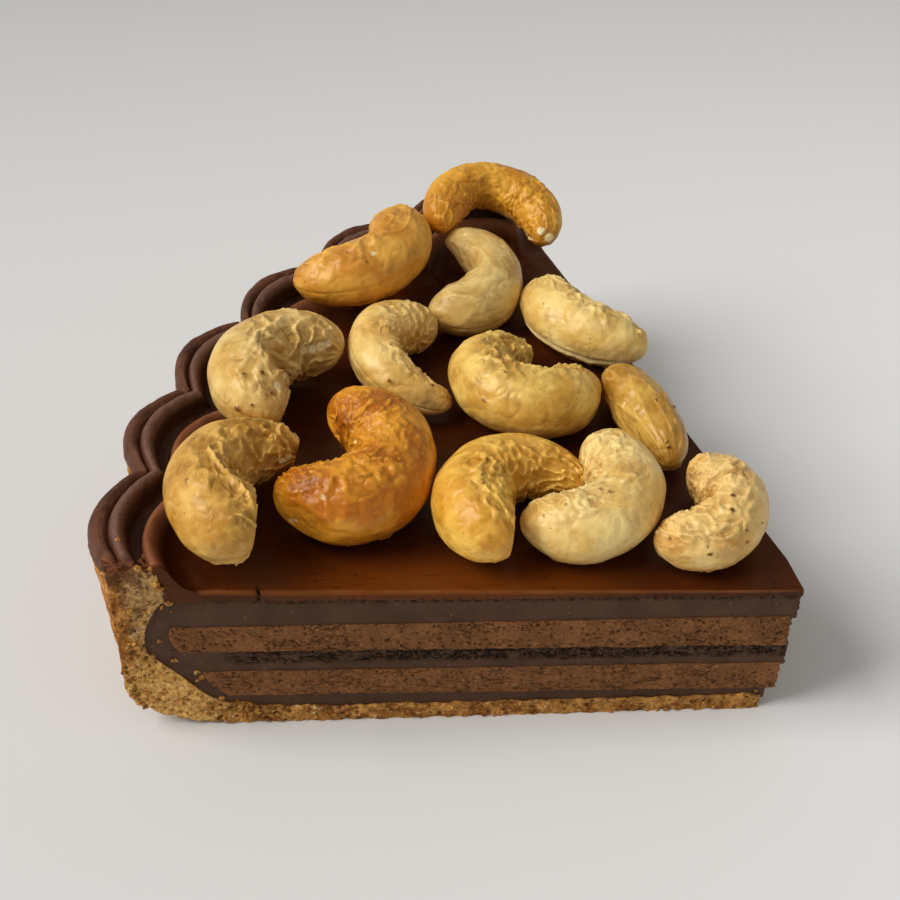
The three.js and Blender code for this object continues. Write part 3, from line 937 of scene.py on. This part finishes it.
def make_piped_edge():
    def place(u, v, ring):
        distance, _, side = ring
        bearing = math.degrees(ring_angle(ring, EDGE_MIDDLE, 0))
        r, z_top = read_curve(edge_profile(bearing), u)
        x, y = spot(r, ring_angle(ring, r, 0))
        past = bearing - max(cusp for cusp in CUSPS if cusp <= bearing)
        over = ramp(0.0, 0.25, z_top - 31.6)
        z_top -= CUSP_DROP * ramp(2.4, 0.0, past) * over
        z_top += 0.2 * grain(x / 3.5, y / 3.5, 4) + 0.13 * grain(x / 1.3, y / 1.3, 3)
        z_top += 0.07 * grain((r - rope_radius(bearing)) / 0.55, bearing / 9, 12) * over
        if distance is not None:
            # the cut drags the soft chocolate down
            near = clamp(1 - distance / END_ROUNDING)
            drop = END_DROP + 2 * grain(r / 1.6, 3, 5)
            z_top -= drop * (1 - math.sqrt(1 - near * near)) * ramp(31, 34, z_top)
        z = mix(EDGE_FOOT, z_top, v)
        back, pit = crust_cut(r, z, 21 + CUT_SEED * side)
        if distance is None or distance > 0.5:
            pit = 0
        rubbed = 0.0
        if distance is not None:
            smears = distance + 2.2 * grain(r / 1.5, distance / 1.5, 8)
            rubbed = ramp(2.6, 0.2, smears) * ramp(34.2, 32.6, z)
        # the valley is darkened through the pit mark, a painted shade
        ridge, painted_valley_shade = ramp(0.15, 0.05, abs(u - RIDGE_PLACE)) * v, ramp(0.3, 0.2, u) * v
        # the edge mark here is a painted sheen on the rope's ridge
        values = (max(0.5 * pit, 0.65 * painted_valley_shade), 0.6 * ridge * (1 - rubbed), rubbed)
        return at(r, ring_angle(ring, r, 0.5 * back + 0.3), z), values

    wrapped_block(
        "piped_edge", (96, 4), rings_round(150), place, chocolate_finish(),
        ["chocolate_rim"], ("pit", "edge", "rubbed"))


def surface_under(x, y):
    """The upper side of the glaze or of the piped edge, whichever lies under a point."""
    r = math.hypot(x, y)
    bearing = math.degrees(math.atan2(y, -x))
    if not 0 <= bearing <= SLICE_ANGLE:
        return 0.0
    lip = lip_radius(bearing)
    if r < lip - MENISCUS_REACH:
        return face_height("top", r)
    bearing = round(bearing, 1)
    # the rise up to its highest point, then the piped edge from just past the valley
    points = [(lip - inset, z) for inset, z in meniscus(bearing)[:8]] + edge_profile(bearing)[1:-1]
    return read_line(points, r) if r <= points[-1][0] else 0.0


# ---------------------------------------------------------------------------------------------
# The cashews

def cashew(at, bulge, bend, reach, width, fat, lean, roll, **more):
    """One nut's sizes. at: its middle, from the tip; bulge: the bearing of its convex side, from +X;
    bend: the radius of its bend; reach: half the arc, in degrees; fat: how much thicker the end on
    the left of the bulge is; lean and roll: degrees by which the convex side, and that end, are
    raised. curl: how much wider that end bends; notch: how deep its hollow side is pinched, and
    notch_at where; blunt: how square each end is; colours: its finish, pale, body and deep; tone:
    not used; freckles: how many; gloss: its roughness. wrinkle: the height of its ridges, size how far
    apart they are, flow how much longer than wide they run along the nut, and spread how far they
    reach round to its convex side; seam: how deep the line between its halves is; split: where they
    have come apart, as shares along and up the nut; flats: broken ends."""
    nut = dict(at=at, bulge=bulge, bend=bend, reach=reach, width=width, fat=fat, lean=lean, roll=roll)
    nut.update(
        curl=0, notch=0.2, notch_at=0.15, blunt=(3, 3), seam=0, freckles=0.1, split=None, flats=())
    nut.update(more)
    return nut


CASHEWS = [
    cashew((-37.9, 82.5), 85, 8.3, 108, 9, 0.07, 11, 7.5, curl=0.07, notch=0.36, notch_at=0.2,
           blunt=(3.8, 3), tone="amber", colours=((238, 176, 60), (204, 132, 24), (137, 71, 8)),
           spread=0.8, wrinkle=0.27, size=2.3, flow=0.55, split=(-0.95, -0.1, -1, -0.55, 0.16),
           gloss=0.5),
    cashew((-58.6, 63.1), 311, 11.1, 72, 11.4, 0.13, 8.5, 2.5, curl=-0.03, notch=0.37, notch_at=0.05,
           blunt=(3.5, 3.2), tone="amber", colours=((236, 176, 72), (211, 141, 43), (145, 79, 12)),
           spread=0.6, wrinkle=0.3, size=2.3, flow=1.5, seam=0.08, gloss=0.5),
    cashew((-40.2, 63.1), 347, 7.9, 98, 10.3, -0.18, -5, 8, curl=0.08, notch_at=0.2, blunt=(2.3, 3),
           tone="pale", colours=((228, 196, 122), (203, 162, 82), (148, 101, 34)), spread=0.7,
           wrinkle=0.16, size=2.8, flow=2.2, seam=0.1, freckles=0.06, gloss=0.5),
    cashew((-27.8, 53.2), 226, 13.2, 53, 10.6, 0.06, 12.5, 0, curl=0.03, notch=0.33, notch_at=0.2,
           blunt=(4, 2.3), tone="pale", colours=((252, 220, 138), (228, 184, 94), (160, 106, 34)),
           spread=0.45, wrinkle=0.42, size=2.6, flow=0.9, split=(-0.8, 0.75, 1, -0.5, 0.1),
           freckles=0.08, gloss=0.48),
    cashew((-77.3, 39.5), 150, 9.3, 88, 12.7, 0.13, 7, 6, curl=-0.04, notch=0.5, notch_at=0.33,
           blunt=(4.4, 3), tone="pale", colours=((241, 208, 131), (216, 171, 86), (147, 90, 27)),
           spread=0.4, wrinkle=0.5, size=2.8, flow=1.1, seam=0.08, freckles=0.16, gloss=0.48),
    cashew((-59.5, 44.8), 184, 8.2, 111, 9.3, -0.17, 22, -1, curl=0.07, notch=0.16, notch_at=-0.1,
           blunt=(4, 2.8), tone="pale", colours=((248, 212, 130), (226, 178, 90), (162, 106, 34)),
           spread=0.5, wrinkle=0.36, size=2.0, flow=0.7, seam=0.1, freckles=0.12, gloss=0.48),
    cashew((-41.5, 35.1), 224, 7.05, 148, 11.4, 0.13, 12, 2, notch=0.23, notch_at=0.2, tone="golden",
           colours=((248, 208, 110), (210, 158, 62), (142, 86, 20)), spread=0.35, wrinkle=0.72,
           size=2.8, flow=0.8, freckles=0.14, gloss=0.48),
    cashew((-19.3, 32.2), 18, 41, 15.3, 9.3, 0.03, 9, 4.5, notch=-0.08, notch_at=0, blunt=(2.3, 2.5),
           tone="golden", colours=((223, 177, 82), (184, 132, 43), (125, 74, 15)), spread=0.9,
           wrinkle=0.24, size=2.4, flow=3.0, gloss=0.42),
    cashew((-83.8, 14.3), 162, 10, 91, 11.8, 0.15, 11, 6.5, notch=0.23, notch_at=0.1, blunt=(3.4, 5),
           tone="golden", colours=((233, 184, 89), (194, 136, 45), (132, 76, 14)), spread=0.45,
           wrinkle=0.7, size=2.6, flow=1.0, freckles=0.14, gloss=0.5,
           flats=((1, -20, 0, 1.5), (-1, 10, 0, 0.7))),
    cashew((-59.7, 15.7), 332, 7.9, 124, 13.6, 0, -5, 6, curl=0.03, notch_at=0.2, blunt=(3, 3.2),
           tone="amber", colours=((232, 159, 42), (194, 111, 13), (129, 56, 4)), spread=0.7,
           wrinkle=0.38, size=2.2, flow=0.6, freckles=0.06, gloss=0.5, flats=((-1, 118, 0, 1.2),)),
    cashew((-45.1, 16.6), 140, 9.1, 104, 11.7, 0.21, 2, 6.5, notch=0, blunt=(2.8, 3), tone="golden",
           colours=((248, 198, 88), (222, 158, 50), (156, 92, 16)), spread=0.3, wrinkle=0.5, size=2.3,
           flow=0.9, gloss=0.46, flats=((1, -20, 0, 0.9), (-1, 54, 0, 0.85))),
    cashew((-27, 10.5), 322, 7.4, 112, 12, 0.06, 3, 3, curl=-0.02, notch_at=0.1, blunt=(3.3, 4.2),
           tone="pale", colours=((250, 219, 142), (234, 190, 104), (174, 120, 44)), spread=0.4,
           wrinkle=0.36, size=2.3, flow=0.7, freckles=0.2, gloss=0.46),
    cashew((-10.8, 9), 332, 6.6, 108, 10.4, 0.04, 5, 2, notch_at=0.17, blunt=(3.5, 3.8), tone="pale",
           colours=((250, 212, 132), (226, 172, 86), (158, 96, 28)), spread=0.8, wrinkle=0.4, size=2.1,
           flow=0.7, freckles=0.2, gloss=0.5),
]
CASHEW_THICKNESS = 0.95  # its height as a share of its width
NOTCH_SHARE = 0.85  # how far the hollow side stands out, as a share of the convex side
NOTCH_SPREAD = 0.28
RIDGE_SIZE, RIDGE_HEIGHT = 1.15, 1.35  # shares of the sizes and wrinkle above
NUT_CELLS = (170, 144)
NUT_SINK = 0.15  # how far a nut is pressed into what carries it

# What shows on the nuts, by nut and kind: where it is in the picture, its radius and its depth
SEEN_ON_NUTS = {
    1: {"flake": [(549, 238, 0.9, 0.2), (541, 231, 0.8, 0.2)]},
    2: {"flake": [(373, 253, 0.5, -0.25)],
        "pit": [(366, 262, 0.34, 0.2)]},
    5: {"pit": [(238, 408, 0.47, 0.5), (252, 405, 0.26, 0.25), (244, 375, 0.42, 0.35),
            (261, 373, 0.42, 0.4), (271, 393, 0.3, 0.3)],
        "stain": [(264, 352, 2.6, 0.3), (262, 388, 1.7, 0.35), (285, 372, 1.5, 0.2)],
        "flake": [(304, 350, 0.8, -0.3), (313, 349, 0.8, -0.35), (322, 347, 0.9, -0.4),
            (328, 343, 0.7, -0.3), (278, 385, 0.8, -0.2), (284, 376, 0.6, -0.2)]},
    6: {"pit": [(390, 381, 0.38, 0.25), (432, 385, 0.3, 0.25)]},
    7: {"pit": [(485, 401, 0.3, 0.25), (505, 372, 0.26, 0.25)]},
    8: {"pit": [(669, 447, 0.34, 0.35), (667, 442, 0.26, 0.3), (656, 400, 0.26, 0.25),
            (674, 407, 0.3, 0.25)]},
    9: {"pit": [(187, 480, 0.3, 0.3)],
        "stain": [(183, 468, 1.5, 0.1), (287, 452, 1.2, 0.3)],
        "flake": [(283, 461, 0.7, -0.3), (288, 455, 0.7, -0.3)]},
    10: {"flake": [(323, 497, 0.42, -0.3), (291, 521, 0.4, -0.3), (295, 520, 0.35, -0.3),
            (355, 441, 0.35, -0.25), (350, 453, 0.3, -0.25), (313, 461, 0.6, -0.35)],
        "stain": [(345, 425, 2.2, 0.2), (300, 480, 2.6, 0.1)]},
    11: {"pit": [(487, 459, 0.42, 0.15), (482, 474, 0.3, 0.15), (483, 483, 0.21, 0.15)]},
    12: {"pit": [(610, 492, 0.38, 0.3), (566, 505, 0.3, 0.25), (601, 489, 0.3, 0.25),
            (544, 516, 0.26, 0.2)],
        "stain": [(600, 480, 1.6, 0.1), (560, 498, 1.4, 0.05)]},
    13: {"pit": [(733, 496, 0.47, 0.25), (732, 510, 0.47, 0.3), (746, 530, 0.3, 0.3),
            (710, 554, 0.42, 0.2), (670, 539, 0.3, 0.2), (666, 525, 0.26, 0.2),
            (762, 523, 0.26, 0.2), (747, 542, 0.26, 0.2)],
        "stain": [(688, 527, 1.1, 0.15), (708, 490, 1.6, 0.15), (738, 470, 1.6, 0.05)]},
}
NUT_MARKS = ("stain", "ridge", "wrinkled", "pit", "flake", "under")


@lru_cache(maxsize=None)
def cashew_ring(number, s):
    """A nut's ring at a place along it: how thick it is, what share of its hollow side is left, and
    where its middle lies."""
    nut = CASHEWS[number - 1]
    thick = math.sqrt(max(0.0, 1 - abs(s) ** nut["blunt"][s > 0]))
    thick = thick * (1 + nut["fat"] * s) * nut["width"] / 2
    share = NOTCH_SHARE - nut["notch"] * math.exp(-(((s - nut["notch_at"]) / NOTCH_SPREAD) ** 2))
    turn = s * math.radians(nut["reach"])
    return thick, share, nut["bend"] * (1 + nut["curl"] * s), math.cos(turn), math.sin(turn)


def crest(p, width):
    """1 along the thin lines where the noise passes zero, and 0 past width."""
    return (1 - min(1.0, abs(noise.noise(p)) / width)) ** 1.8


def wrinkles(nut, number, x, z, s):
    """How far a nut's skin stands out at a place, how much of a ridge it is, and how wrinkled."""
    half, length = nut["width"] / 2, nut["bend"] * math.radians(nut["reach"])
    p = Vector((x * half + 17 * number, z * half, s * length))
    broad_lumps = 0.3 * noise.noise(p * 0.22) + 0.14 * noise.noise(p * 0.5)
    reach = x + 0.35 * noise.noise(p * 0.3 + Vector((5, 0, 0)))
    there = ramp(nut["spread"] + 0.35, nut["spread"] - 0.35, reach)
    if there <= 0:
        return broad_lumps, 0.0, 0.0
    p.z /= nut["flow"]
    p /= nut["size"] * RIDGE_SIZE
    p += 0.5 * noise.noise_vector(p * 0.6)
    strength = there * (0.8 + 0.5 * noise.noise(p * 0.4 + Vector((2, 2, 2))))
    both = crest(p, 0.3) + 0.4 * crest(p * 1.8 + Vector((3, 1, 7)), 0.28)
    raised = RIDGE_HEIGHT * nut["wrinkle"] * strength * (both - 0.4)
    return broad_lumps + raised, clamp(both * strength), clamp(strength * nut["wrinkle"] / 0.5)


def cashew_point(nut, number, around, s):
    """A point of a nut about its own middle and its marks. around is the angle round the nut from
    its bulge, and s runs from one end to the other, -1 to 1."""
    x, z = math.cos(around), math.sin(around)
    thick, share, middle, turn_x, turn_y = cashew_ring(number, s)
    lift, ridge, wrinkled = wrinkles(nut, number, x, z, s)
    seam = nut["seam"] * ramp(0.08, 0.0, abs(z)) * (1 if x > 0 else 0.4)
    split = 0.0
    if nut["split"]:
        first, last, side, level, wide = nut["split"]
        here = ramp(first - 0.1, first + 0.1, s) * ramp(last + 0.1, last - 0.1, s) * (x * side > 0)
        split = here * ramp(wide, wide * 0.5, abs(z - level + 0.08 * grain(s * 4, 0, number)))
    girth = thick + (lift - seam - 0.45 * split) * min(1.0, thick / 1.8)
    out = middle + x * girth * (share if x < 0 else 1)
    point = Vector((out * turn_x - nut["bend"], out * turn_y, z * girth * CASHEW_THICKNESS))
    return point, (clamp(1.6 * seam), ridge, clamp(wrinkled), 0.0, clamp(split))


def flatten_end(bm, nut, end, turn, rise, depth):
    """Breaks an end off flat: end is which one, turn and rise the way the break faces, and depth
    how much is gone."""
    angle = end * math.radians(nut["reach"]) + end * math.radians(90 - turn)
    up = math.radians(rise)
    way = Vector((math.cos(angle) * math.cos(up), math.sin(angle) * math.cos(up), math.sin(up)))
    half = [v for v in bm.verts if v.co.y * end > 0]
    limit = max(v.co.dot(way) for v in half) - depth
    for vert in half:
        past = vert.co.dot(way) - limit
        if past > 0:
            vert.co -= way * past * 0.94


def mark_nut(bm, number, marks):
    """Presses this nut's pits into it and raises its fragments, where the camera sees them."""
    tree = BVHTree.FromBMesh(bm)
    for kind, places in SEEN_ON_NUTS.get(number, {}).items():
        mark = marks[NUT_MARKS.index(kind)]
        for px, py, radius, depth in places:
            place, normal, _, _ = tree.ray_cast(*look_through(px, py))
            if place is None:
                continue
            for vert in bm.verts:
                near = (vert.co - place).length / radius
                if near < 1.3:
                    vert.co -= normal * depth * ramp(1.3, 0.4, near)
                    vert[mark] = max(vert[mark], ramp(1.05, 0.65, near))


def make_cashew(nut, number):
    """Makes a nut about its own middle, turns it, rests it on the glaze and marks it."""
    name = f"cashew_{number:02d}"
    bm = bmesh.new()
    bmesh.ops.create_uvsphere(bm, u_segments=NUT_CELLS[0], v_segments=NUT_CELLS[1], radius=1)
    marks = [bm.verts.layers.float.new(mark) for mark in NUT_MARKS]
    for vert in bm.verts:
        around = math.atan2(vert.co.y, vert.co.x)
        vert.co, values = cashew_point(nut, number, around, clamp(vert.co.z, -1, 1))
        for mark, value in zip(marks, values):
            vert[mark] = value
    for flat in nut["flats"]:
        flatten_end(bm, nut, *flat)
    turn = (
        Matrix.Rotation(math.radians(nut["bulge"]), 3, "Z")
        @ Matrix.Rotation(math.radians(-nut["lean"]), 3, "Y")
        @ Matrix.Rotation(math.radians(nut["roll"]), 3, "X")
    )
    bmesh.ops.rotate(bm, verts=bm.verts, cent=(0, 0, 0), matrix=turn)
    x, y = nut["at"]
    bmesh.ops.translate(bm, verts=bm.verts, vec=(x, y, 0))
    rest = min(v.co.z - surface_under(v.co.x, v.co.y) for v in bm.verts)
    bmesh.ops.translate(bm, verts=bm.verts, vec=(0, 0, -NUT_SINK - rest))
    # the lower half is marked for painted shade
    low, high = min(v.co.z for v in bm.verts), max(v.co.z for v in bm.verts)
    for vert in bm.verts:
        vert[marks[-1]] = ramp(mix(low, high, 0.5), low, vert.co.z)
    mark_nut(bm, number, marks)
    bmesh.ops.scale(bm, verts=bm.verts, vec=(MM, MM, MM))
    bmesh.ops.translate(bm, verts=bm.verts, vec=TIP)
    tints = [colour(*tint) for tint in nut["colours"]]
    finish = cashew_finish(name, *tints, number, nut["freckles"], nut["gloss"])
    make_piece(f"nut_{number:02d}", bm, finish, [name], 180)


# ---------------------------------------------------------------------------------------------
# Crumbs

CRUMBS_SEEN = [  # where in the picture, radius and how browned
    (126, 672, 1.0, 0.2), (129, 680, 0.8, 0.1), (131, 688, 1.0, 0.3), (135, 695, 0.9, 0.2),
    (140, 702, 0.9, 0.4), (146, 706, 0.7, 0.3), (124, 664, 0.7, 0.5), (128, 694, 0.6, 0.1),
    (160, 588, 1.1, 0.0), (155, 584, 0.8, 0.0), (168, 602, 0.9, 0.1), (162, 606, 0.7, 0.1),
    (140, 562, 0.8, 0.9), (145, 566, 0.9, 0.8), (151, 569, 0.7, 0.7), (137, 568, 0.7, 0.6),
    (144, 557, 0.6, 0.9), (197, 671, 0.9, 0.0), (202, 676, 0.8, 0.1), (198, 679, 0.6, 0.2),
    (171, 611, 0.6, 0.2), (149, 611, 0.8, 0.2), (143, 622, 0.7, 0.5), (160, 640, 0.7, 0.1),
    (152, 655, 0.8, 0.0), (175, 660, 0.8, 0.3), (222, 697, 0.8, 0.2), (238, 702, 0.7, 0.3),
    (165, 690, 0.9, 0.1), (182, 700, 0.8, 0.3), (208, 703, 0.7, 0.2), (270, 706, 0.6, 0.3),
    (330, 709, 0.7, 0.4), (352, 708, 0.6, 0.2), (431, 706, 0.7, 0.5), (452, 707, 0.5, 0.2),
    (520, 703, 0.6, 0.3), (604, 700, 0.6, 0.2), (668, 697, 0.6, 0.4), (742, 694, 0.7, 0.3),
    (756, 690, 0.6, 0.2), (233, 310, 0.7, 0.8), (122, 470, 0.7, 0.8), (118, 540, 0.6, 0.9),
]
CRUMB_SHARE, BROWNED_SHARE = 0.62, 0.7  # how much of those radii and browning is used
STRAY_CRUMBS = 260


def crumb(bm, layer, place, radius, browned, seed):
    """Adds one crumb, a lumpy grain, to a mesh of crumbs. place is in metres."""
    made = bmesh.ops.create_icosphere(bm, subdivisions=2, radius=radius * MM)
    wide, long, high = (0.3 * grain(seed, n + 0.5) for n in range(3))
    stretch = Vector((1 + wide, 1 + long, 0.85 + high))
    for vert in made["verts"]:
        lump = grain(*(vert.co / (radius * MM) * 1.3 + Vector((seed, 0, 0))))
        vert.co = vert.co * (1 + 0.9 * lump) * stretch + place
        vert[layer] = browned


def trees(*names):
    """The shapes of some pieces, to find where a line meets them."""
    found = []
    for name in names:
        piece = bpy.data.objects[name]
        bm = bmesh.new()
        bm.from_mesh(piece.data)
        found.append(BVHTree.FromBMesh(bm))
        bm.free()
    return found


def make_crumbs():
    bm = bmesh.new()
    layer = bm.verts.layers.float.new("browned")
    shapes = trees("crust_base", "crust_wall", "piped_edge", "ganache_bottom_slab", "glaze_coat")
    for number, (px, py, radius, browned) in enumerate(CRUMBS_SEEN):
        start, way = look_through(px, py)
        hits = [tree.ray_cast(TIP + start * MM, way) for tree in shapes]
        hits = [hit for hit in hits if hit[0] is not None]
        if hits:
            place = min(hits, key=lambda hit: hit[3])[0] + way * 0.25 * radius * MM
            crumb(bm, layer, place, CRUMB_SHARE * radius, BROWNED_SHARE * browned, 3.7 * number)
    random.seed(11)
    for number in range(STRAY_CRUMBS):
        side = number % 2
        section = random.choice((random.uniform(0.3, 4), random.uniform(3, SECTION_COUNT - 0.6)))
        v, radius = random.uniform(0.02, 0.98), random.uniform(0.15, 0.38)
        r, z, _ = crust_point(section, v, side * SLICE_ANGLE)
        angle = math.radians(SLICE_ANGLE) if side else 0.0
        crumb(bm, layer, at(r, angle, max(z, radius)), radius, random.uniform(0, 0.4), 5.1 * number)
    make_piece("crumbs", bm, bpy.data.materials["baked_crust"], (), 40)


# ---------------------------------------------------------------------------------------------
# Floor, light and camera

FLOOR_HALF = 3.0  # metres, as the other sizes here
WINDOW_PLACE, WINDOW_SIZE, WINDOW_POWER = (-1.4, -0.2, 1.42), 1.15, 34
WINDOW_TINT = (1.0, 0.99, 0.98)
ROOM_TINT, ROOM_STRENGTH = (1.0, 0.985, 0.95, 1), 0.36


def make_stage():
    bm = bmesh.new()
    bmesh.ops.create_grid(bm, x_segments=1, y_segments=1, size=FLOOR_HALF)
    mesh = bpy.data.meshes.new("floor")
    bm.to_mesh(mesh)
    bm.free()
    mesh.materials.append(floor_finish())
    floor = add_object("floor", mesh)


def make_light():
    """An even pale room, and one large window up and to the left that shines on the slice."""
    world = bpy.data.worlds.new("studio")
    world.use_nodes = True
    room = world.node_tree.nodes["Background"].inputs
    room["Color"].default_value, room["Strength"].default_value = ROOM_TINT, ROOM_STRENGTH
    bpy.context.scene.world = world
    data = bpy.data.lights.new("window", "AREA")
    data.shape, data.size, data.energy, data.color = "SQUARE", WINDOW_SIZE, WINDOW_POWER, WINDOW_TINT
    window = add_object("window", data)
    window.location = WINDOW_PLACE
    window.rotation_euler = (-Vector(WINDOW_PLACE)).to_track_quat("-Z", "Y").to_euler()


def make_camera():
    data = bpy.data.cameras.new("camera")
    data.lens, data.sensor_width, data.clip_start = CAMERA_LENS, CAMERA_FILM, 0.01
    camera = add_object("camera", data)
    turn = Matrix((RIGHT, UP, BACK)).transposed().to_4x4()
    camera.matrix_world = Matrix.Translation(TIP + CAMERA_PLACE * MM) @ turn
    bpy.context.scene.camera = camera


make_camera()
make_stage()
make_light()
ganache = make_layers()
make_ganache_bottom(ganache)
make_crust()
make_glaze()
make_piped_edge()
for number, nut in enumerate(CASHEWS, 1):
    make_cashew(nut, number)
make_crumbs()

bpy.context.scene.view_settings.view_transform = "Standard"
